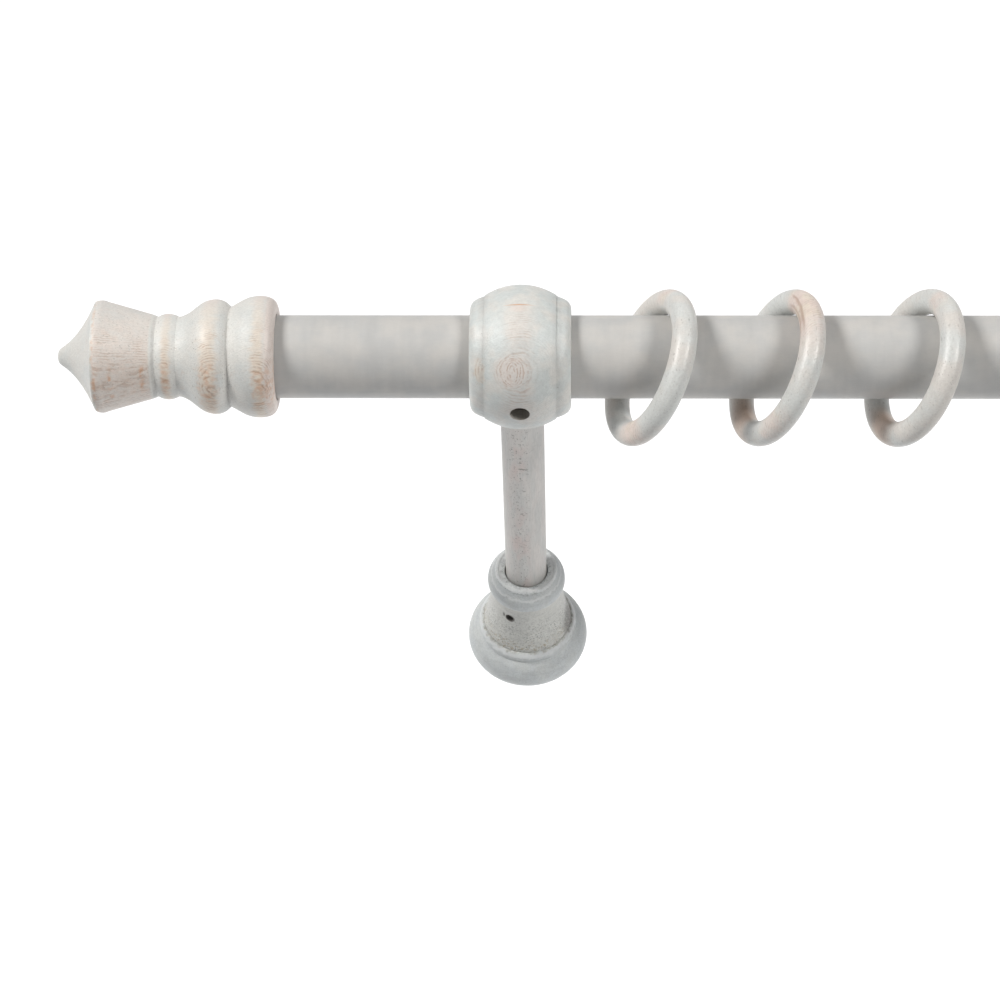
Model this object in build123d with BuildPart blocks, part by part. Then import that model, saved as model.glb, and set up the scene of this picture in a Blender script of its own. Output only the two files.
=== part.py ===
from build123d import *
from math import cos, radians, sin
import os

# Wooden curtain rod: turned finials, two wall brackets and plain sliding rings.
# Millimetres. X runs along the rod, +Y points into the wall, +Z is up. The origin lies on
# the wall face, midway between the two brackets and level with the rod's axis.

# Rod
rod_length = 1200.0
rod_dia = 28.0
rod_end_chamfer = 1.5
projection = 175.0  # wall face to rod axis
overhang = 82.0  # bracket centre to finial mouth

# Clearances, each per side
holder_clearance = 0.3  # holder bore over the rod
socket_clearance = 0.6  # finial socket over the rod
dowel_clearance = 0.1  # stem in the holder
stem_clearance = 0.5  # stem in the base
screw_clearance = 0.1  # screws in their holes
ring_clearance = 0.35  # ring above the top of the rod

# Finial, from its mouth outwards, radial steps given as walls over the socket
socket_past_bead = 8.5
socket_chamfer = 0.5
finial_mouth_wall = 1.4
finial_bead_wall = 5.9
finial_bead_peak = 6.0
finial_bead_length = 15.7
finial_bead_fall = 0.46  # slope where the bead meets the crease
finial_crease_wall = 2.25
finial_shoulder_wall = 4.75
finial_shoulder_peak = 4.9
finial_shoulder_length = 17.6
finial_shoulder_climb = 1.0
finial_waist_fall = 0.15
finial_waist_dia = 26.9
finial_ring_rise = 1.0
finial_ring_length = 7.0
cup_foot_rise = 0.7
cup_foot_length = 1.6
cup_length = 17.4  # foot to the crest of the lip
cup_flare = 4.85
lip_half_width = 1.9
lip_drop = 0.45
lip_fall = 2.0  # slope of the cup's end below its lip
point_length = 15.1  # crest of the lip to the tip
nib_length = 1.2
nib_dia = 5.8
nib_fall = 0.65

# Rod holder of the bracket, walls over its bore
holder_length = 34.0
holder_end_wall = 1.5
holder_shoulder_wall = 6.2
holder_shoulder_slope = 0.38
holder_quirk = 0.3
barrel_width = 24.0
barrel_crown = 3.5
holder_bore_chamfer = 0.6
dowel_seat_wall = 2.2  # wood left between the stem's end and the bore

# Stem
stem_dia = 15.0
stem_chamfer = 0.8

# Wall base, lengths from the wall and walls over the stem socket
base_web = 10.0
flange_crest = 4.4
flange_length = 12.65
flange_back_drop = 1.65
flange_step = 4.1
bead_length = 3.55
bead_rise = 1.55
bead_swell = 0.35  # slope at the bead's foot
bead_turn = 2.0  # slope at its top
bell_length = 23.1
bell_foot_wall = 8.6
bell_quirk = 0.25
bell_foot_slope = 0.25
neck_wall = 5.05
collar_quirk = 0.3
collar_length = 9.1
collar_crest = 2.5
collar_wall = 6.25
collar_swell = 1.5  # slope where the collar rises from the neck
collar_fall = 0.75  # slope where it meets the rim
rim_height = 1.1
rim_foot_wall = 3.4
rim_wall = 2.75
rim_inner_wall = 2.0
rim_inner_drop = 0.3
dish_depth = 0.9

# Wall screw hole, countersunk at the bottom of the stem socket
wall_hole_dia = 5.0
wall_sink_dia = 9.6

# Screw that locks the rod in its holder, from below
rod_screw_dia = 3.5
rod_screw_bite = 5.0
rod_screw_head_dia = 6.0
rod_screw_head_height = 2.2
rod_screw_seat_wall = 3.6
rod_screw_hole_dia = 6.6

# Headless screw that locks the stem in the base
stem_screw_dia = 3.0
stem_screw_bite = 3.0
stem_screw_recess = 1.9
stem_screw_height = 32.8  # from the wall
stem_screw_turn = 28.0  # from straight down, towards the rod's end

# Driver slots of both screws
slot_width = 0.8
slot_depth = 0.9

# Rings
ring_play = 4.85  # ring's inner radius over the rod's
ring_section_dia = 8.5
ring_yaw = 28.5
ring_places = [43.6, 85.9, 131.8, 182.0, 228.0, 274.0]  # from each bracket, towards the middle
ring_leans = [0.0, 0.0, 1.5, 0.5, 0.0, 1.0]  # tops towards the rod's end

# Worked out from the sizes above
rod_r = rod_dia / 2
socket_r = rod_r + socket_clearance
socket_depth = finial_bead_length + socket_past_bead
mouth_x = rod_length / 2 - socket_depth
bracket_x = mouth_x - overhang
bore_r = rod_r + holder_clearance
barrel_edge_r = bore_r + holder_shoulder_wall + holder_quirk
barrel_r = barrel_edge_r + barrel_crown
stem_r = stem_dia / 2
stem_end = bore_r + dowel_seat_wall
stem_socket_r = stem_r + stem_clearance
screw_seat_r = bore_r + rod_screw_seat_wall

# Planes and axes: the left bracket's own lines, then the rod's
rod_plane = Plane.XZ.offset(projection)
rod_axis = Axis((0, -projection, 0), (1, 0, 0))
base_plane = Plane(origin=(-bracket_x, 0, 0), x_dir=(0, -1, 0), z_dir=(1, 0, 0))
base_axis = Axis((-bracket_x, 0, 0), (0, 1, 0))
screw_foot = Plane(origin=(-bracket_x, -projection, 0), x_dir=(1, 0, 0), z_dir=(0, 0, -1))
stem_screw_foot = Plane(
    origin=(-bracket_x, -stem_screw_height, 0),
    x_dir=(0, -1, 0),
    z_dir=(-sin(radians(stem_screw_turn)), 0, -cos(radians(stem_screw_turn))),
)


def slope(run, rise):
    """Direction of a profile line."""
    return Vector(run, rise).normalized()


# Rod, with the pilot holes that the two lock screws cut
pilot_top = rod_screw_bite + screw_clearance - rod_r
with BuildPart() as rod:
    with BuildSketch(Plane.YZ.offset(-rod_length / 2)):
        with Locations((-projection, 0)):
            Circle(rod_r)
    extrude(amount=rod_length)
    chamfer(rod.edges().filter_by(GeomType.CIRCLE), rod_end_chamfer)
    for side in (-1, 1):
        with BuildSketch(Plane(origin=(side * bracket_x, -projection, pilot_top), z_dir=(0, 0, -1))):
            Circle(rod_screw_dia / 2 + screw_clearance)
        extrude(amount=rod_r, mode=Mode.SUBTRACT)

# Finial: one turned piece, pushed over the end of the rod
bead_end = finial_bead_length
waist_at = bead_end + finial_shoulder_length
ring_end = waist_at + finial_ring_length
cup_foot_at = ring_end + cup_foot_length
lip_at = cup_foot_at + cup_length
tip_at = lip_at + point_length
waist_r = finial_waist_dia / 2
cup_foot_r = waist_r + cup_foot_rise
lip_r = cup_foot_r + cup_flare


def outward(distance, radius):
    """A point of the left finial's profile, from its mouth."""
    return (-mouth_x - distance, radius)


with BuildPart() as finial:
    with BuildSketch(rod_plane):
        with BuildLine():
            mouth = outward(0, socket_r + finial_mouth_wall)
            bead = outward(finial_bead_peak, socket_r + finial_bead_wall)
            crease = outward(bead_end, socket_r + finial_crease_wall)
            shoulder = outward(bead_end + finial_shoulder_peak, socket_r + finial_shoulder_wall)
            waist = outward(waist_at, waist_r)
            ring_crest = outward((waist_at + ring_end) / 2, waist_r + finial_ring_rise)
            ring_foot = outward(ring_end, waist_r)
            cup_foot = outward(cup_foot_at, cup_foot_r)
            lip_inner = outward(lip_at - lip_half_width, lip_r - lip_drop)
            lip_outer = outward(lip_at + lip_half_width, lip_r - lip_drop)
            nib = outward(tip_at - nib_length, nib_dia / 2)
            tip = outward(tip_at, 0)
            Line(outward(0, 0), mouth)
            Spline(mouth, bead, tangents=(slope(0, 1), slope(-1, 0)))
            Spline(bead, crease, tangents=(slope(-1, 0), slope(-1, -finial_bead_fall)))
            Spline(crease, shoulder, tangents=(slope(-1, finial_shoulder_climb), slope(-1, 0)))
            Spline(shoulder, waist, tangents=(slope(-1, 0), slope(-1, -finial_waist_fall)))
            ThreePointArc(waist, ring_crest, ring_foot)
            Line(ring_foot, cup_foot)
            Line(cup_foot, lip_inner)
            ThreePointArc(lip_inner, outward(lip_at, lip_r), lip_outer)
            Spline(lip_outer, nib, tangents=(slope(-1, -lip_fall), slope(-1, -nib_fall)))
            Spline(nib, tip, tangents=(slope(-1, -nib_fall), slope(0, -1)))
            Line(tip, outward(0, 0))
        make_face()
    revolve(axis=rod_axis)
    with BuildSketch(Plane.YZ.offset(-mouth_x)):
        with Locations((-projection, 0)):
            Circle(socket_r)
    extrude(amount=-socket_depth, mode=Mode.SUBTRACT)
    mouth_edges = finial.edges().filter_by(GeomType.CIRCLE).sort_by(Axis.X)[-2:]
    chamfer(mouth_edges.sort_by(SortBy.RADIUS)[0], socket_chamfer)

# Holder: the barrel that carries the rod, with the stem's dowel hole and the lock screw's hole


def across(distance, radius):
    """A point of the left holder's profile, from its middle."""
    return (-bracket_x + distance, radius)


with BuildPart() as holder:
    with BuildSketch(rod_plane):
        with BuildLine():
            end = holder_length / 2
            edge = barrel_width / 2
            end_r = bore_r + holder_end_wall
            shoulder_r = bore_r + holder_shoulder_wall
            rising = slope(1, holder_shoulder_slope)
            Line(across(0, 0), across(-end, 0))
            Line(across(-end, 0), across(-end, end_r))
            Spline(across(-end, end_r), across(-edge, shoulder_r), tangents=(slope(0, 1), rising))
            Line(across(-edge, shoulder_r), across(-edge, barrel_edge_r))
            ThreePointArc(across(-edge, barrel_edge_r), across(0, barrel_r), across(edge, barrel_edge_r))
            Line(across(edge, barrel_edge_r), across(edge, shoulder_r))
            falling = slope(1, -holder_shoulder_slope)
            Spline(across(edge, shoulder_r), across(end, end_r), tangents=(falling, slope(0, -1)))
            Line(across(end, end_r), across(end, 0))
            Line(across(end, 0), across(0, 0))
        make_face()
    revolve(axis=rod_axis)
    with BuildSketch(Plane.YZ.offset(-bracket_x - holder_length / 2)):
        with Locations((-projection, 0)):
            Circle(bore_r)
    extrude(amount=holder_length, mode=Mode.SUBTRACT)
    mouths = holder.edges().filter_by(GeomType.CIRCLE).filter_by(lambda e: abs(e.radius - bore_r) < 1e-6)
    chamfer(mouths, holder_bore_chamfer)
    with BuildSketch(Plane(origin=(-bracket_x, stem_end - projection, 0), z_dir=(0, 1, 0))):
        Circle(stem_r + dowel_clearance)
    extrude(amount=barrel_r, mode=Mode.SUBTRACT)
    with BuildSketch(screw_foot.offset(screw_seat_r)):
        Circle(rod_screw_hole_dia / 2)
    extrude(amount=barrel_r, mode=Mode.SUBTRACT)
    with BuildSketch(screw_foot):
        Circle(rod_screw_dia / 2 + screw_clearance)
    extrude(amount=screw_seat_r, mode=Mode.SUBTRACT)

# Stem: a plain dowel from the holder to the bottom of the base's socket
with BuildPart() as stem:
    with BuildSketch(Plane(origin=(-bracket_x, stem_end - projection, 0), z_dir=(0, 1, 0))):
        Circle(stem_r)
    extrude(amount=projection - stem_end - base_web)
    chamfer(stem.edges().filter_by(GeomType.CIRCLE), stem_chamfer)
    with BuildSketch(stem_screw_foot.offset(stem_r - stem_screw_bite - screw_clearance)):
        Circle(stem_screw_dia / 2 + screw_clearance)
    extrude(amount=stem_dia, mode=Mode.SUBTRACT)

# Base: a turned bell with a rimmed collar, on a rounded flange that lies against the wall
bead_at = flange_length
bell_at = bead_at + bead_length
collar_at = bell_at + bell_length
base_height = collar_at + collar_length
bell_foot_r = stem_socket_r + bell_foot_wall
bead_r = bell_foot_r + bead_rise
flange_r = bead_r + flange_step
neck_r = stem_socket_r + neck_wall

with BuildPart() as base:
    with BuildSketch(base_plane):
        with BuildLine():
            back = (0, flange_r - flange_back_drop)
            bead_foot = (bead_at, bead_r)
            bead_top = (bell_at, bell_foot_r)
            bell_foot = (bell_at, bell_foot_r - bell_quirk)
            neck = (collar_at, neck_r)
            collar_foot = (collar_at, neck_r + collar_quirk)
            collar_crown = (collar_at + collar_crest, stem_socket_r + collar_wall)
            rim_foot = (base_height - rim_height, stem_socket_r + rim_foot_wall)
            rim_crest = (base_height, stem_socket_r + rim_wall)
            rim_inner = (base_height - rim_inner_drop, stem_socket_r + rim_inner_wall)
            dish = (base_height - dish_depth, stem_socket_r)
            Line((0, 0), back)
            ThreePointArc(back, (flange_crest, flange_r), bead_foot)
            Spline(bead_foot, bead_top, tangents=(slope(1, bead_swell), slope(1, -bead_turn)))
            Line(bead_top, bell_foot)
            Spline(bell_foot, neck, tangents=(slope(1, -bell_foot_slope), slope(1, 0)))
            Line(neck, collar_foot)
            Spline(collar_foot, collar_crown, tangents=(slope(1, collar_swell), slope(1, 0)))
            Spline(collar_crown, rim_foot, tangents=(slope(1, 0), slope(1, -collar_fall)))
            ThreePointArc(rim_foot, rim_crest, rim_inner)
            Line(rim_inner, dish)
            Line(dish, (base_height - dish_depth, 0))
            Line((base_height - dish_depth, 0), (0, 0))
        make_face()
    revolve(axis=base_axis)
    with BuildSketch(Plane(origin=(-bracket_x, -base_web, 0), z_dir=(0, -1, 0))):
        Circle(stem_socket_r)
    extrude(amount=base_height, mode=Mode.SUBTRACT)
    with Locations(Plane(origin=(-bracket_x, -base_web, 0), z_dir=(0, -1, 0))):
        CounterSinkHole(wall_hole_dia / 2, wall_sink_dia / 2, base_web)
    with BuildSketch(stem_screw_foot):
        Circle(stem_screw_dia / 2 + screw_clearance)
    extrude(amount=flange_r, mode=Mode.SUBTRACT)

# Rod lock screw: slotted pan head, seated at the bottom of the holder's hole
with BuildPart() as rod_screw:
    with BuildSketch(screw_foot.offset(rod_r - rod_screw_bite)):
        Circle(rod_screw_dia / 2)
    extrude(amount=screw_seat_r - rod_r + rod_screw_bite)
    with BuildSketch(screw_foot.offset(screw_seat_r)):
        Circle(rod_screw_head_dia / 2)
    extrude(amount=rod_screw_head_height)
    head_rim = rod_screw.edges().filter_by(GeomType.CIRCLE).sort_by(Axis.Z)[0]
    fillet(head_rim, rod_screw_head_height / 3)
    with BuildSketch(screw_foot.offset(screw_seat_r + rod_screw_head_height)):
        Rectangle(rod_screw_head_dia, slot_width)
    extrude(amount=-slot_depth, mode=Mode.SUBTRACT)

# Stem lock screw: headless, sunk just under the bell's surface
bell_share = (stem_screw_height - bell_at) / bell_length
stem_screw_top = bell_foot_r + (neck_r - bell_foot_r) * bell_share - stem_screw_recess
with BuildPart() as stem_screw:
    with BuildSketch(stem_screw_foot.offset(stem_r - stem_screw_bite)):
        Circle(stem_screw_dia / 2)
    extrude(amount=stem_screw_top - stem_r + stem_screw_bite)
    with BuildSketch(stem_screw_foot.offset(stem_screw_top)):
        Rectangle(stem_screw_dia, slot_width)
    extrude(amount=-slot_depth, mode=Mode.SUBTRACT)

# Write the rod, then each bracket and finial piece with its mirrored twin
os.makedirs("parts", exist_ok=True)
rod.part.label = "rod"
export_step(rod.part, "parts/rod.step")

left_pieces = {
    "finial": finial,
    "holder": holder,
    "stem": stem,
    "base": base,
    "rod_screw": rod_screw,
    "stem_screw": stem_screw,
}
for name, piece in left_pieces.items():
    with BuildPart() as twin:
        mirror(piece.part, about=Plane.YZ)
    piece.part.label = f"{name}_left"
    export_step(piece.part, f"parts/{name}_left.step")
    twin.part.label = f"{name}_right"
    export_step(twin.part, f"parts/{name}_right.step")

# Rings: plain turned rings that hang on top of the rod, each group turned the same way
ring_section_r = ring_section_dia / 2
ring_core_r = rod_r + ring_play + ring_section_r
ring_drop = ring_play - ring_clearance
turned = radians(ring_yaw)
for side, hand in ((-1, "left"), (1, "right")):
    for number, (place, lean) in enumerate(zip(ring_places, ring_leans), start=1):
        tipped = radians(lean)
        ring_plane = Plane(
            origin=(side * (bracket_x - place), -projection, -ring_drop),
            z_dir=(-side * cos(tipped) * cos(turned), cos(tipped) * sin(turned), sin(tipped)),
        )
        with BuildPart() as ring:
            with Locations(ring_plane):
                Torus(ring_core_r, ring_section_r)
        ring.part.label = f"ring_{hand}_{number}"
        export_step(ring.part, f"parts/ring_{hand}_{number}.step")
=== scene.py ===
from math import cos, radians, sin

import bpy
from mathutils import Matrix, Vector


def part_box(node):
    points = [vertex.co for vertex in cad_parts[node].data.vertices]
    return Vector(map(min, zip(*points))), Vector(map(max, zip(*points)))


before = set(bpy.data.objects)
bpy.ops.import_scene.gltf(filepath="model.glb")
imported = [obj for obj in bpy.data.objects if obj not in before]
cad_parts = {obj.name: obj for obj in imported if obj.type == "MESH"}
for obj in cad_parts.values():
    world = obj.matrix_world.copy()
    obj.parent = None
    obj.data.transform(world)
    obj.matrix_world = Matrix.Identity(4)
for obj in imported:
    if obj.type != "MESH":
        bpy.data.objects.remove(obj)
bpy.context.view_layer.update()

# Places and sizes read from the frame. The finishes work in millimetres, the scene in metres.
MM = 1000.0


def box_mm(node):
    """Lowest and highest corner of a CAD node, in millimetres."""
    return [Vector(corner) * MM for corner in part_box(node)]


rod_low, rod_high = box_mm("rod")
holder_low, holder_high = box_mm("holder_left")
screw_low, screw_high = box_mm("stem_screw_left")
finial_mouth = box_mm("finial_left")[1].x
rod_axis = Vector((0, (rod_low.y + rod_high.y) / 2, (rod_low.z + rod_high.z) / 2))
bracket = Vector(((holder_low.x + holder_high.x) / 2, rod_axis.y, rod_axis.z))
bracket_foot = Vector((bracket.x, 0, bracket.z))
barrel_r = (holder_high.z - holder_low.z) / 2

# Rays that see the pale tone of floor and world, beside the light that they give or take
seen_rays = ("Is Camera Ray", "Is Glossy Ray", "Is Transmission Ray")

# Growth layers, in millimetres: size of their slow bends, of their ripples and of the breaks in a line
bend_size = 7.0
ripple_size = 1.4
break_size = 2.4


def srgb(red, green, blue):
    """A colour as it shows on a screen, 0 to 255, as a linear colour."""
    shares = [channel / 255 for channel in (red, green, blue)]
    linear = [s / 12.92 if s <= 0.04045 else ((s + 0.055) / 1.055) ** 2.4 for s in shares]
    return (*linear, 1.0)


class Nodes:
    """Adds nodes to a tree. Each call gives back an output of the last node that it added."""

    def __init__(self, tree):
        self.nodes = tree.nodes
        self.links = tree.links

    def feed(self, socket, value):
        """Link an output to a socket, or set the socket to a constant."""
        if isinstance(value, bpy.types.NodeSocket):
            self.links.new(value, socket)
        else:
            socket.default_value = value

    def add(self, kind, inputs, output=0, **settings):
        node = self.nodes.new(kind)
        for name, value in settings.items():
            setattr(node, name, value)
        for name, value in inputs.items():
            self.feed(node.inputs[name], value)
        return node.outputs[output]

    def math(self, operation, first, second=0.0):
        return self.add("ShaderNodeMath", {0: first, 1: second}, operation=operation)

    def plus(self, first, second):
        return self.math("ADD", first, second)

    def minus(self, first, second):
        return self.math("SUBTRACT", first, second)

    def times(self, first, second):
        return self.math("MULTIPLY", first, second)

    def most(self, first, second):
        return self.math("MAXIMUM", first, second)

    def seen(self):
        """1 for the rays that see floor and world, 0 for those that only carry light."""
        path = self.add("ShaderNodeLightPath", {}).node
        total = 0.0
        for ray in seen_rays:
            total = self.most(total, path.outputs[ray])
        return total


class Finish(Nodes):
    """A material in the making. Its places are millimetres in the frame, at rest."""

    def __init__(self, name):
        self.material = bpy.data.materials.new(name)
        self.material.use_nodes = True
        super().__init__(self.material.node_tree)
        self.shader = self.nodes["Principled BSDF"]
        metres = self.add("ShaderNodeTexCoord", {}, "Object")
        self.place = self.vector("MULTIPLY", metres, (MM, MM, MM))
        x, self.y, self.z = self.add("ShaderNodeSeparateXYZ", {0: self.place}).node.outputs
        self.left_x = self.times(self.math("ABSOLUTE", x), -1.0)
        self.left_place = self.add("ShaderNodeCombineXYZ", {0: self.left_x, 1: self.y, 2: self.z})

    def vector(self, operation, first, second, output=0):
        return self.add("ShaderNodeVectorMath", {0: first, 1: second}, output, operation=operation)

    def length(self, vector):
        return self.add("ShaderNodeVectorMath", {0: vector}, "Value", operation="LENGTH")

    def step(self, value, low, high):
        """0 at low, 1 at high, smooth between."""
        inputs = {"Value": value, "From Min": low, "From Max": high}
        return self.add("ShaderNodeMapRange", inputs, interpolation_type="SMOOTHSTEP")

    def spread(self, value, low, high):
        """A share from 0 to 1 as a number from low to high."""
        return self.plus(self.times(value, high - low), low)

    def noise(self, size, stretch=(1, 1, 1), detail=2.0, seed=0.0):
        """Noise with features of about size millimetres, longer where stretch is larger."""
        factors = tuple(1 / (size * s) for s in stretch)
        vector = self.vector("MULTIPLY", self.place, factors)
        inputs = {"Vector": vector, "W": seed, "Scale": 1.0, "Detail": detail}
        return self.add("ShaderNodeTexNoise", inputs, "Fac", noise_dimensions="4D")

    def swing(self, size, stretch=(1, 1, 1), detail=2.0, seed=0.0):
        """The same noise about 0, from -0.5 to 0.5."""
        return self.minus(self.noise(size, stretch, detail, seed), 0.5)

    def mix(self, share, first, second):
        """A blend of two colours, which a Mix node takes in sockets 6 and 7 and gives in output 2."""
        return self.add("ShaderNodeMix", {0: share, 6: first, 7: second}, 2, data_type="RGBA")

    def mix_value(self, share, first, second):
        """A blend of two numbers, which a Mix node takes in sockets 2 and 3."""
        return self.add("ShaderNodeMix", {0: share, 2: first, 3: second}, data_type="FLOAT")

    def shade(self, colour, level):
        """A colour made lighter or darker."""
        return self.add("ShaderNodeVectorMath", {0: colour, "Scale": level}, operation="SCALE")

    def bands(self, value, places, core):
        """1 close to each place, 0 from its half-width on; core is the full share of it."""
        total = 0.0
        for centre, half in places:
            off = self.math("ABSOLUTE", self.minus(value, centre))
            total = self.most(total, self.step(off, half, half * core))
        return total

    def patch(self, point, reach, core):
        """1 round a point of the left side, and of its mirror, 0 beyond its reach on each axis."""
        offset = self.vector("SUBTRACT", self.left_place, point)
        share = self.length(self.vector("MULTIPLY", offset, tuple(1 / r for r in reach)))
        return self.step(share, 1.0, core)

    def depth(self, direction, start):
        """Distance from start along a direction."""
        offset = self.vector("SUBTRACT", self.place, start)
        return self.vector("DOT_PRODUCT", offset, direction, "Value")

    def facing(self, direction):
        """Cosine of the angle round the rod's axis from a direction across it."""
        across = self.vector("MULTIPLY", self.vector("SUBTRACT", self.place, rod_axis), (0, 1, 1))
        return self.math("DIVIDE", self.depth(direction, rod_axis), self.length(across))

    def layers(self, sheet, gap, bend, ripple, seed=0.0):
        """Growth layers, one to each gap of the sheet's value, as late-wood lines from 0 to 1."""
        slow = self.times(self.swing(bend_size, (3, 1, 1), 3.0, seed), bend)
        quick = self.times(self.swing(ripple_size, (2.5, 1, 1), 3.0, seed), ripple)
        bent = self.plus(sheet, self.plus(slow, quick))
        phase = self.math("FRACT", self.math("DIVIDE", bent, gap))
        line = self.times(self.step(phase, 0.4, 0.8), self.step(phase, 1.0, 0.88))
        unbroken = self.step(self.noise(break_size, (2, 1, 1), 4.0, seed + 5.0), 0.38, 0.6)
        return self.times(line, unbroken)

    def done(self, colour, height, roughness, bump_mm):
        """The material, with its colour, gloss and fine relief."""
        self.feed(self.shader.inputs["Base Color"], colour)
        self.feed(self.shader.inputs["Roughness"], roughness)
        inputs = {"Height": height, "Distance": bump_mm / MM}
        self.feed(self.shader.inputs["Normal"], self.add("ShaderNodeBump", inputs))
        return self.material


# Colours of the wash, and of the wood that shows through it
wash_white = srgb(218, 217, 213)
wash_cool = srgb(211, 213, 211)
wash_blue = srgb(208, 213, 212)
wash_warm = srgb(215, 211, 206)
# Painted shade for the holder's grooves
groove_shade_grey = srgb(168, 169, 168)
beech_cream = srgb(220, 212, 202)
beech_tan = srgb(223, 212, 199)
beech_pink = srgb(223, 208, 200)
# Brown of bare wood on the rings' backs, darker also as painted shade under the rod
beech_brown_and_shade = srgb(188, 168, 154)
beech_orange = srgb(208, 160, 124)
line_brown = srgb(162, 126, 102)
fleck_dark = srgb(112, 104, 97)
# Dark grey: painted shade in finial grooves and the base's hole mouth; also steel, a patch, a torn spot
dark_grey_and_painted_shade = srgb(122, 120, 117)
# Bare wood in the holder's screw hole, darker, partly painted shade
hole_wood_and_shade = srgb(166, 160, 152)

# Colours of rod, stem, wall base, screws and floor
rod_grey = srgb(188, 188, 187)
rod_warm = srgb(194, 192, 189)
stem_pink = srgb(233, 229, 225)
stem_grey = srgb(223, 222, 219)
stem_rose = srgb(236, 215, 209)
base_grey = srgb(218, 222, 222)
base_blue = srgb(214, 219, 221)
base_yellow = srgb(224, 223, 216)
# Next three: pale speckle, also painted highlight on the ridges; ochre; dark speckle, also painted shade
# in grooves
base_pale_and_highlight = srgb(238, 241, 242)
base_ochre = srgb(178, 162, 132)
base_speckle_and_groove_shade = srgb(120, 122, 120)
screw_dark = srgb(74, 72, 69)
floor_pale = srgb(226, 226, 224)
floor_dull = srgb(220, 220, 218)

# Directions across the growth layers, where their rings show as eyes
finial_grain = Vector((0, -0.34, -0.94)).normalized()
holder_grain = Vector((0, -0.64, -0.77)).normalized()
ring_grain = Vector((0.5, -0.35, -0.79)).normalized()

# Finial, in millimetres from its mouth: middle and half-width of each rubbed crest, of each groove
# (painted shade), of the knots in the cup, of the stretches where pores show dark, and of the lip's edge
finial_crests = [(4.9, 4.2), (22.0, 5.4), (36.6, 2.6)]
finial_groove_shade = [(15.7, 0.9), (40.9, 0.9)]
finial_knots = [(44.3, 1.5), (54.6, 1.5), (60.2, 1.2)]
finial_pores = [(15.7, 3.6), (26.6, 3.0), (40.0, 2.5), (33.0, 2.5)]
finial_lip = [(60.5, 0.8)]
mouth_fade = (4.5, 2.0)
cup_start = (41.6, 42.6)
cup_end = (61.0, 60.0)
cup_mean_r = 16.5
finial_layer = 0.52


def washed_finial():
    """White wash, rubbed through to the beech on each crest of the turning."""
    finish = Finish("washed_beech_finial")
    past = finish.minus(finial_mouth, finish.left_x)
    facing = finish.facing(finial_grain)
    low_side = finish.step(facing, -0.35, 0.8)
    mouth = finish.step(past, *mouth_fade)
    cup = finish.times(finish.step(past, *cup_start), finish.step(past, *cup_end))

    # Where the wash is rubbed off: crests, mouth and cup
    ragged = finish.swing(1.8, (1.6, 1, 1), 5.0)
    crest = finish.plus(finish.bands(past, finial_crests, 0.0), finish.times(ragged, 1.4))
    bare = finish.times(finish.step(crest, 0.0, 1.15), finish.spread(low_side, 0.6, 1.0))
    cup_bare = finish.plus(finish.times(low_side, 0.35), finish.times(ragged, 0.9))
    cup_bare = finish.times(cup, finish.plus(cup_bare, 0.25))
    bare = finish.most(bare, finish.most(finish.times(mouth, 0.7), cup_bare))

    # Wash and wood
    cloud = finish.noise(9.0, detail=3.0)
    wash = finish.mix(finish.step(cloud, 0.42, 0.66), wash_white, wash_cool)
    wood = finish.mix(finish.step(facing, -0.6, 0.3), beech_pink, beech_cream)
    wood = finish.mix(finish.step(facing, 0.2, 0.95), wood, beech_tan)
    wood = finish.mix(finish.most(mouth, finish.times(cup, 0.7)), wood, beech_pink)
    colour = finish.mix(bare, wash, wood)

    # Orange stains: knots of the cup, eyes of the crests, the lip
    eye = finish.times(finish.step(facing, 0.84, 0.99), bare)
    knot = finish.times(finish.bands(past, finial_knots, 0.1), finish.step(facing, 0.9, 0.985))
    stain = finish.most(knot, finish.times(eye, finish.spread(cup, 0.8, 0.3)))
    lip = finish.times(finish.bands(past, finial_lip, 0.2), finish.spread(low_side, 0.3, 0.65))
    blush = finish.step(finish.noise(2.0, (1.2, 1, 1), 3.0, 8.0), 0.38, 0.66)
    stain = finish.times(finish.most(stain, lip), blush)
    colour = finish.mix(finish.times(stain, 0.8), colour, beech_orange)

    # Growth lines, straight along the cup and round the eyes elsewhere
    round_cup = finish.times(facing, cup_mean_r)
    sheet = finish.mix_value(cup, finish.depth(finial_grain, rod_axis), round_cup)
    lines = finish.layers(sheet, finial_layer, bend=1.8, ripple=0.8)
    drawn = finish.times(finish.times(bare, finish.step(facing, 0.3, 0.7)), 0.55)
    colour = finish.mix(finish.times(lines, finish.plus(drawn, 0.06)), colour, line_brown)

    # Tooth of the wash, dark pores, and painted shade in the grooves, darker on the low side
    tooth = finish.noise(0.45, (2.2, 1, 1), 3.0)
    colour = finish.shade(colour, finish.spread(tooth, 0.78, 1.2))
    porous = finish.most(finish.bands(past, finial_pores, 0.1), finish.times(cup, 0.6))
    pores = finish.step(finish.noise(0.5, (1.4, 1, 1), 2.0, 4.0), 0.6, 0.7)
    colour = finish.mix(finish.times(pores, finish.spread(porous, 0.12, 0.5)), colour, fleck_dark)
    # Painted shade: the grooves darkened, more on the low side
    groove_shade = finish.times(finish.bands(past, finial_groove_shade, 0.1), finish.spread(ragged, 0.4, 1.2))
    groove_shade = finish.times(groove_shade, finish.spread(low_side, 0.2, 0.7))
    colour = finish.mix(groove_shade, colour, dark_grey_and_painted_shade)
    height = finish.plus(finish.times(lines, -0.4), tooth)
    return finish.done(colour, height, roughness=finish.spread(bare, 0.5, 0.42), bump_mm=0.08)


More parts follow.
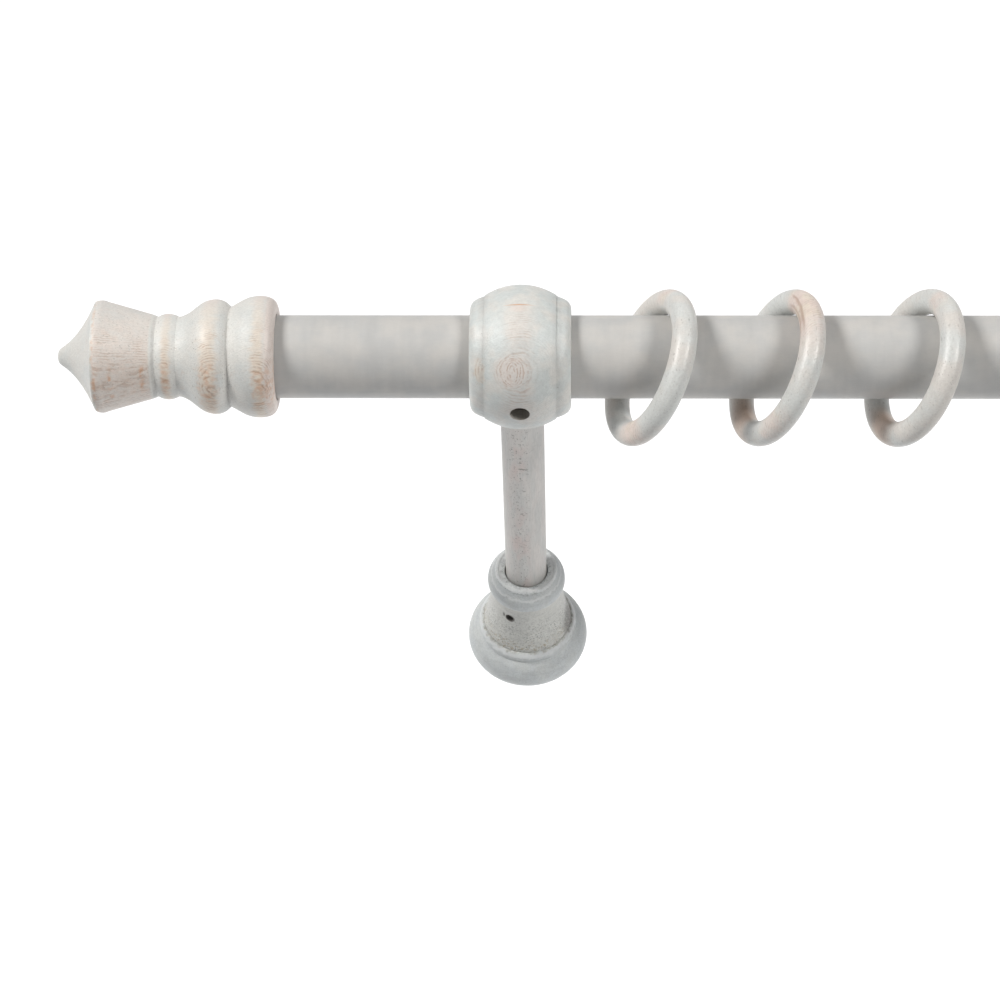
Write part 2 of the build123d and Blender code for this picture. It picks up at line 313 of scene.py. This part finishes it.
# Holder, in millimetres: the eye of the growth rings, long in its core and round outside
eye_middle = bracket + holder_grain * barrel_r + Vector((-2.4, 0, 0))
eye_squeeze = (1.15, 0.3, 0.3)
eye_rounding = (1.5, 6.0)
eye_fade = (8.0, 3.0)
eye_rings_per_mm = 0.9

# A rubbed spot on each shoulder, and a streak in front with a peach and a cream zone below it
shoulder_rub = bracket + Vector((-13.3, -11.9, -16.1))
shoulder_reach = (3.2, 9.0, 9.0)
streak_middle = bracket + Vector((-0.3, -24.1, 3.3))
streak_reach = (6.5, 4.0, 0.45)
peach_middle = streak_middle + Vector((0, 0, -1.7))
peach_reach = (4.8, 4.0, 2.8)
cream_middle = streak_middle + Vector((0, 0, -4.0))
cream_reach = (9.0, 12.0, 12.0)

# Off the holder's middle: the lane of growth lines, and middle and half-width of the grooves (painted
# shade) and of the flecks
lane_fade = (7.0, 1.5)
holder_groove_shade = [(12.6, 2.4)]
holder_flecks = [(12.5, 3.2)]
holder_layer = 0.5
screw_hole_edge = (3.5, 3.2)
below_axis = (0.0, -1.0)


def washed_holder():
    """Thicker white wash, with the growth rings of the barrel showing as one eye."""
    finish = Finish("washed_beech_holder")
    off_middle = finish.math("ABSOLUTE", finish.minus(finish.left_x, bracket.x))
    ragged = finish.swing(2.2, (1.6, 1, 1), 5.0)

    # The eye and its rings
    eye_offset = finish.vector("SUBTRACT", finish.left_place, eye_middle)
    round_ring = finish.length(eye_offset)
    long_ring = finish.length(finish.vector("MULTIPLY", eye_offset, eye_squeeze))
    eye_ring = finish.mix_value(finish.step(round_ring, *eye_rounding), long_ring, round_ring)
    wobble = finish.times(finish.swing(2.4, detail=3.0, seed=4.0), 1.8)
    phase = finish.math("FRACT", finish.times(finish.plus(eye_ring, wobble), eye_rings_per_mm))
    eye_line = finish.times(finish.step(phase, 0.4, 0.7), finish.step(phase, 1.0, 0.85))
    unbroken = finish.step(finish.noise(1.5, detail=3.0, seed=9.0), 0.42, 0.58)
    eye_line = finish.times(eye_line, unbroken)
    eye = finish.step(eye_ring, *eye_fade)

    # Wash, and the zones where wood shows
    lane = finish.step(finish.facing(holder_grain), 0.5, 0.85)
    lane = finish.times(lane, finish.step(off_middle, *lane_fade))
    rubbed = finish.patch(shoulder_rub, shoulder_reach, core=0.2)
    rubbed = finish.step(finish.plus(rubbed, finish.times(ragged, 2.0)), 0.3, 1.1)
    peach = finish.patch(peach_middle, peach_reach, core=0.1)
    cream = finish.patch(cream_middle, cream_reach, core=0.2)
    cloud = finish.step(finish.noise(6.0, detail=4.0), 0.34, 0.62)
    cool = finish.most(finish.minus(cloud, finish.times(cream, 0.8)), 0.0)
    wash = finish.mix(cool, wash_white, wash_blue)
    bare = finish.most(finish.times(eye, 0.5), finish.times(lane, 0.25))
    bare = finish.most(bare, finish.times(peach, 0.6))
    colour = finish.mix(bare, wash, beech_pink)
    colour = finish.mix(finish.times(rubbed, 0.8), colour, beech_tan)

    # Lines of the eye, growth lines and the streak
    colour = finish.mix(finish.times(eye_line, finish.times(eye, 0.55)), colour, line_brown)
    sheet = finish.depth(holder_grain, rod_axis)
    lines = finish.layers(sheet, holder_layer, bend=0.8, ripple=0.5, seed=3.0)
    drawn = finish.plus(finish.times(lane, 0.32), finish.plus(finish.times(rubbed, 0.4), 0.03))
    colour = finish.mix(finish.times(lines, drawn), colour, line_brown)
    streak = finish.patch(streak_middle, streak_reach, core=0.1)
    colour = finish.mix(finish.times(streak, 0.9), colour, beech_orange)

    # Mottle and tooth of the wash, flecks, painted shade in the grooves, and the screw hole: bare wood,
    # darker, partly painted shade
    mottle = finish.noise(1.6, (1.4, 1, 1), 4.0, 5.0)
    colour = finish.shade(colour, finish.spread(mottle, 0.85, 1.13))
    tooth = finish.noise(0.5, (1.8, 1, 1), 3.0)
    colour = finish.shade(colour, finish.spread(tooth, 0.85, 1.13))
    flecked = finish.spread(finish.bands(off_middle, holder_flecks, 0.1), 0.2, 0.65)
    colour = finish.mix(finish.times(finish.step(tooth, 0.64, 0.72), flecked), colour, fleck_dark)
    # Painted shade: a grey band along each groove
    groove_shade = finish.times(finish.bands(off_middle, holder_groove_shade, 0.0), finish.spread(ragged, 0.3, 1.3))
    colour = finish.mix(groove_shade, colour, groove_shade_grey)
    # Screw hole: bare wood inside, darker, partly painted shade
    off_hole = finish.vector("SUBTRACT", finish.left_place, bracket)
    off_hole = finish.length(finish.vector("MULTIPLY", off_hole, (1, 1, 0)))
    inside = finish.times(finish.step(off_hole, *screw_hole_edge), finish.step(finish.z, *below_axis))
    colour = finish.mix(inside, colour, hole_wood_and_shade)
    height = finish.plus(finish.times(lines, -0.3), finish.plus(tooth, mottle))
    return finish.done(colour, height, roughness=0.46, bump_mm=0.1)


def rod_paint():
    """A smooth satin coat of warm grey, with faint smears round it."""
    finish = Finish("rod_paint")
    cloud = finish.noise(9.0, (1.2, 1, 1), 4.0)
    colour = finish.mix(finish.step(cloud, 0.36, 0.64), rod_grey, rod_warm)
    colour = finish.shade(colour, finish.spread(cloud, 0.92, 1.08))
    smear = finish.noise(2.5, (1, 6, 6), 4.0, 3.0)
    colour = finish.shade(colour, finish.spread(smear, 0.93, 1.07))
    grain = finish.noise(0.6, (3, 1, 1), 3.0)
    colour = finish.shade(colour, finish.spread(grain, 0.96, 1.04))
    return finish.done(colour, grain, roughness=finish.spread(cloud, 0.38, 0.54), bump_mm=0.03)


# Stem, in millimetres: its lane of flecks off the middle, and where along Y the curls set in
stem_lane = [(-1.6, 5.0)]
curls_from = (-60.0, -140.0)


def stem_wood():
    """A thin grey wash with a pinkish lane of dark flecks, and curls of them near the holder."""
    finish = Finish("stem_wood")
    cloud = finish.noise(4.0, (1, 4, 1), 4.0)
    colour = finish.mix(finish.step(cloud, 0.38, 0.62), stem_pink, stem_grey)
    colour = finish.shade(colour, finish.spread(cloud, 0.92, 1.08))
    streaks = finish.noise(0.6, (1, 7, 1), 3.0)
    colour = finish.shade(colour, finish.spread(streaks, 0.84, 1.16))
    lane = finish.bands(finish.minus(finish.left_x, bracket.x), stem_lane, 0.2)
    rose = finish.step(finish.noise(8.0, (1, 2, 1), 2.0, 5.0), 0.48, 0.62)
    colour = finish.mix(finish.times(rose, finish.times(lane, 0.5)), colour, stem_rose)
    curl = finish.noise(1.2, (1.6, 1, 1), 3.0, 2.0)
    near = finish.step(finish.y, *curls_from)
    curled = finish.times(finish.step(curl, 0.6, 0.66), finish.spread(near, 0.1, 0.7))
    curled = finish.times(curled, finish.spread(lane, 0.2, 1.0))
    dots = finish.step(finish.noise(0.7, (1, 1.5, 1), 3.0, 4.0), 0.58, 0.68)
    fleck = finish.most(curled, finish.times(dots, finish.spread(lane, 0.06, 0.5)))
    colour = finish.mix(fleck, colour, fleck_dark)
    return finish.done(colour, finish.plus(streaks, curl), roughness=0.5, bump_mm=0.06)


# Wall base, in millimetres from the wall: middle and half-width of its ridges (paler, partly painted
# highlight) and of its grooves (painted shade), the ends of the bell, where the speckle and the ochre of
# its foot fade, and the dish round the stem
base_ridges = [(48.2, 0.8), (15.2, 1.2), (45.6, 0.6)]
base_groove_shade = [(16.5, 0.9), (39.2, 0.5)]
bell_start = (15.4, 16.6)
bell_end = (41.5, 39.5)
speckle_fade = (39.0, 24.0)
ochre_fade = (24.0, 18.0)
dish_start = (47.0, 47.6)
edge_wave = 2.4

# A darker grey patch on the side towards the rings, and the small screw hole, whose mouth is darkened as
# painted shade, with a torn spot beside it
darker_patch_middle = bracket_foot + Vector((15.6, -19.5, -1.5))
darker_patch_reach = (4.0, 9.0, 12.0)
hole_mouth = Vector((screw_low.x + 1.3, (screw_low.y + screw_high.y) / 2, screw_low.z + 0.2))
hole_edge = (2.2, 1.7)
torn_middle = hole_mouth + Vector((-2.6, -0.6, 0.4))
torn_reach = (0.7, 1.7, 1.7)


def base_wood():
    """A cool grey wash, brushed on: speckled on the bell and the dish, smoother on the flange."""
    finish = Finish("base_wood")
    out = finish.times(finish.y, -1.0)
    blot = finish.noise(2.0, detail=5.0, seed=6.0)
    uneven = finish.minus(blot, 0.5)

    # Zones, with wavy edges
    wavy = finish.plus(out, finish.times(uneven, edge_wave))
    past_flange = finish.step(wavy, *bell_start)
    bell = finish.times(past_flange, finish.step(wavy, *bell_end))
    patchy = finish.step(finish.noise(4.0, detail=3.0, seed=8.0), 0.36, 0.6)
    foot = finish.times(past_flange, finish.step(wavy, *speckle_fade))
    foot = finish.times(foot, finish.spread(patchy, 0.35, 1.0))
    rough_zone = finish.most(foot, finish.step(out, *dish_start))

    # Wash, uneven and brushed
    cloud = finish.noise(7.0, detail=4.0)
    colour = finish.mix(finish.step(cloud, 0.38, 0.62), base_grey, base_blue)
    colour = finish.mix(finish.times(bell, 0.7), colour, base_yellow)
    level = finish.times(uneven, finish.spread(rough_zone, 0.2, 0.5))
    colour = finish.shade(colour, finish.plus(level, 1.0))
    brushed = finish.noise(1.1, (6, 1, 6), 4.0, 12.0)
    colour = finish.shade(colour, finish.spread(brushed, 0.82, 1.16))

    # Speckle, dark, ochre and pale
    speckle = finish.noise(0.5, (1.4, 1, 1), 4.0, 2.0)
    dark = finish.times(finish.step(speckle, 0.5, 0.64), finish.spread(rough_zone, 0.12, 0.6))
    colour = finish.mix(dark, colour, base_speckle_and_groove_shade)
    ochre = finish.times(finish.step(out, *ochre_fade), finish.times(bell, patchy))
    ochre = finish.times(ochre, finish.step(finish.noise(1.0, detail=3.0, seed=3.0), 0.46, 0.62))
    colour = finish.mix(finish.times(ochre, 0.65), colour, base_ochre)
    pale = finish.times(finish.step(speckle, 0.44, 0.32), finish.spread(rough_zone, 0.15, 0.6))
    colour = finish.mix(pale, colour, base_pale_and_highlight)

    # Darker patch, painted shade in the grooves, paler ridges (partly painted highlight), and the small
    # hole's mouth darkened as painted shade
    # A darker grey patch on the side towards the rings
    darker_patch = finish.patch(darker_patch_middle, darker_patch_reach, core=0.3)
    darker_patch = finish.times(darker_patch, finish.spread(finish.step(speckle, 0.35, 0.6), 0.5, 1.0))
    colour = finish.mix(darker_patch, colour, dark_grey_and_painted_shade)
    # Painted shade: the grooves darkened
    groove_shade = finish.times(finish.bands(wavy, base_groove_shade, 0.1), finish.spread(blot, -0.5, 1.0))
    colour = finish.mix(groove_shade, colour, base_speckle_and_groove_shade)
    # Ridges paler: partly the wash's own tone, partly painted highlight
    ridge_tone_and_highlight = finish.times(finish.bands(wavy, base_ridges, 0.1), finish.spread(blot, 0.2, 1.4))
    colour = finish.mix(ridge_tone_and_highlight, colour, base_pale_and_highlight)
    # Painted shade: the small hole's mouth darkened; the torn spot beside it is wear
    off_hole = finish.length(finish.vector("SUBTRACT", finish.left_place, hole_mouth))
    torn = finish.patch(torn_middle, torn_reach, core=0.3)
    colour = finish.mix(finish.most(finish.step(off_hole, *hole_edge), torn), colour, dark_grey_and_painted_shade)
    height = finish.plus(speckle, finish.times(blot, 2.0))
    return finish.done(colour, height, roughness=0.46, bump_mm=0.16)


# Rings, in millimetres from the bracket's middle: where the wash is rubbed off, how far, and how much
ring_patches = [
    ((49.0, -16.0, 14.0), (8.0, 9.0, 6.0), 0.7),
    ((36.0, 5.0, -27.0), (11.0, 12.0, 10.0), 0.9),
    ((94.0, -20.0, 4.0), (14.0, 14.0, 24.0), 1.2),
    ((82.0, -2.0, -29.0), (15.0, 15.0, 9.0), 0.6),
    ((139.0, -20.0, 8.0), (8.0, 9.0, 12.0), 0.6),
]

# Brown bare wood on the back of the second and the third ring, partly painted shade under the rod:
# where, and how far
ring_backs_wood_and_shade = [
    ((75.5, 15.0, -14.0), (9.0, 9.0, 15.0)),
    ((122.0, 13.0, -18.0), (9.0, 9.0, 14.0)),
]

# One dark late-wood line on the second ring: the direction across it, its place along that direction
# with its half-width, and the stretch of the ring that it runs over
late_across = Vector((1, 0.5, 0))
late_places = [(82.2, 0.28)]
late_middle = bracket + Vector((92.5, -20.5, 4.0))
late_reach = (7.0, 7.0, 14.0)
ring_layer = 0.9


def ring_wood():
    """A grey-white wash over turned rings, with bare patches on the three next to each bracket."""
    finish = Finish("ring_wood")
    cloud = finish.noise(16.0, detail=3.0)
    wash = finish.mix(finish.step(cloud, 0.42, 0.6), wash_cool, wash_warm)

    # Where the wash is worn off
    ragged = finish.swing(4.0, detail=5.0, seed=7.0)
    worn = finish.times(finish.step(finish.noise(30.0, seed=2.0), 0.6, 0.75), 0.4)
    for offset, reach, share in ring_patches:
        rubbed = finish.patch(bracket + Vector(offset), reach, core=0.1)
        worn = finish.most(worn, finish.times(rubbed, share))
    bare = finish.step(finish.plus(worn, finish.times(ragged, 0.8)), 0.05, 1.05)
    wood = finish.mix(finish.step(finish.noise(6.0, seed=3.0), 0.36, 0.54), beech_tan, beech_pink)
    colour = finish.mix(bare, wash, wood)

    # Growth lines, the late-wood line, and the brown backs: bare wood, partly painted shade
    lines = finish.layers(finish.depth(ring_grain, rod_axis), ring_layer, bend=2.4, ripple=0.8)
    drawn = finish.plus(finish.times(bare, 0.3), 0.04)
    colour = finish.mix(finish.times(lines, drawn), colour, line_brown)
    from_bracket = finish.vector("SUBTRACT", finish.left_place, bracket)
    across = finish.vector("DOT_PRODUCT", from_bracket, late_across, "Value")
    late_line = finish.bands(finish.plus(across, finish.times(ragged, 0.4)), late_places, 0.1)
    late_line = finish.times(late_line, finish.patch(late_middle, late_reach, core=0.5))
    colour = finish.mix(finish.times(late_line, 0.55), colour, line_brown)
    # Brown backs: bare wood, partly painted shade under the rod
    for offset, reach in ring_backs_wood_and_shade:
        back = finish.patch(bracket + Vector(offset), reach, core=0.2)
        colour = finish.mix(back, colour, beech_brown_and_shade)

    # Tooth and fibre of the wash, and scratches
    tooth = finish.noise(0.5, (1.8, 1, 1), 3.0)
    colour = finish.shade(colour, finish.spread(tooth, 0.84, 1.14))
    fibre = finish.noise(0.8, (1, 1, 6), 4.0, 11.0)
    colour = finish.shade(colour, finish.spread(fibre, 0.88, 1.12))
    scratch = finish.step(finish.noise(0.6, (1, 1, 3.5), 3.0, 6.0), 0.6, 0.7)
    colour = finish.mix(finish.times(scratch, 0.35), colour, fleck_dark)
    height = finish.plus(tooth, finish.times(lines, -0.4))
    return finish.done(colour, height, roughness=0.38, bump_mm=0.08)


def screw_steel():
    """Dark steel, a little brushed by the driver."""
    finish = Finish("screw_steel")
    finish.shader.inputs["Metallic"].default_value = 1.0
    brushed = finish.noise(0.25, (6, 1, 1))
    colour = finish.mix(finish.step(brushed, 0.3, 0.7), screw_dark, dark_grey_and_painted_shade)
    return finish.done(colour, brushed, roughness=finish.spread(brushed, 0.35, 0.55), bump_mm=0.01)


steel = screw_steel()
finishes = {
    "finial": washed_finial(),
    "holder": washed_holder(),
    "stem": stem_wood(),
    "base": base_wood(),
    "ring": ring_wood(),
    "rod": rod_paint(),
    "rod_screw": steel,
    "stem_screw": steel,
}
for node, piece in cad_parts.items():
    kind = node.split("_left")[0].split("_right")[0]
    for slot in piece.material_slots:
        slot.material = finishes[kind]

# Pale floor, far below a rod that hangs on a wall. It sends no light to the rod and takes none from it.
floor_z = -3.0
floor_size = 120.0
floor_glow = 0.4


def floor_paint():
    """Matt and pale, with a glow for the rays that see it."""
    finish = Finish("floor")
    colour = finish.mix(finish.noise(400.0), floor_pale, floor_dull)
    glow = finish.times(finish.seen(), floor_glow)
    finish.feed(finish.shader.inputs["Emission Strength"], glow)
    return finish.done(colour, finish.noise(3.0), roughness=0.8, bump_mm=0.1)


bpy.ops.mesh.primitive_plane_add(size=floor_size, location=(0, 0, floor_z))
floor = bpy.context.object
floor.name = "floor"
floor.visible_diffuse = False
floor.visible_shadow = False
floor.data.materials.append(floor_paint())

# World: white to the rays that see it. As light it comes more from some sides than from others:
# the axis, the way along it, and the strength.
world_sides = [("Y", 1.0, 1.4), ("Z", 1.0, 0.1), ("Z", -1.0, 0.26)]
world = bpy.data.worlds.new("studio")
bpy.context.scene.world = world
world.use_nodes = True
sky = Nodes(world.node_tree)
background = sky.nodes["Background"]
background.inputs["Color"].default_value = (1, 1, 1, 1)
sky_direction = sky.add("ShaderNodeTexCoord", {}, "Generated")
sky_axes = sky.add("ShaderNodeSeparateXYZ", {0: sky_direction}).node.outputs
sky_light = 0.0
for axis, sign, level in world_sides:
    inputs = {0: sky_axes[axis], 1: sign}
    side = sky.add("ShaderNodeMath", inputs, operation="MULTIPLY", use_clamp=True)
    sky_light = sky.plus(sky_light, sky.times(side, level))
sky.feed(background.inputs["Strength"], sky.most(sky_light, sky.seen()))


quarter_turn = 90.0
half_turn = 180.0


def direction(turn, lift):
    """The direction +Y, turned towards +X and then lifted, both in degrees."""
    flat = cos(radians(lift))
    return Vector((sin(radians(turn)) * flat, cos(radians(turn)) * flat, sin(radians(lift))))


# Two softboxes in front of the rod: name, turn from straight ahead and rise in degrees, power in watts
softbox_size = 0.9
softbox_distance = 3.2
softbox_colour = (1.0, 0.985, 0.96)
softboxes = [("left", -42.0, 8.0, 89.0), ("right", 43.0, -5.0, 60.0)]
for side, turn, rise, power in softboxes:
    lamp = bpy.data.lights.new(f"softbox_{side}", "AREA")
    lamp.shape = "SQUARE"
    lamp.size = softbox_size
    lamp.energy = power
    lamp.color = softbox_colour
    stand = bpy.data.objects.new(lamp.name, lamp)
    bpy.context.scene.collection.objects.link(stand)
    towards = direction(half_turn - turn, rise)
    stand.location = bracket / MM + towards * softbox_distance
    stand.rotation_euler = towards.to_track_quat("Z", "Y").to_euler()

# Camera below and in front of the left bracket, looking up at it: its offset from the holder's middle
# in metres, its turns in degrees, its reach in metres, its sensor and lens in millimetres
camera_offset = Vector((0.02329, -0.89413, -0.69249))
camera_pan = -1.8761
camera_pitch = 35.3014
camera_roll = 1.1977
camera_reach = 100.0
sensor_width = 36.0
focal_length = 120.83
camera_data = bpy.data.cameras.new("camera")
camera_data.sensor_width = sensor_width
camera_data.lens = focal_length
camera_data.clip_end = camera_reach
camera = bpy.data.objects.new("camera", camera_data)
bpy.context.scene.collection.objects.link(camera)
forward = direction(camera_pan, camera_pitch)
level_right = direction(camera_pan + quarter_turn, 0.0)
level_up = level_right.cross(forward)
roll = radians(camera_roll)
right = level_right * cos(roll) + level_up * sin(roll)
up = level_up * cos(roll) - level_right * sin(roll)
turned = Matrix((right, up, -forward)).transposed().to_4x4()
camera.matrix_world = Matrix.Translation(bracket / MM + camera_offset) @ turned
bpy.context.scene.camera = camera

bpy.context.scene.view_settings.view_transform = "Standard"
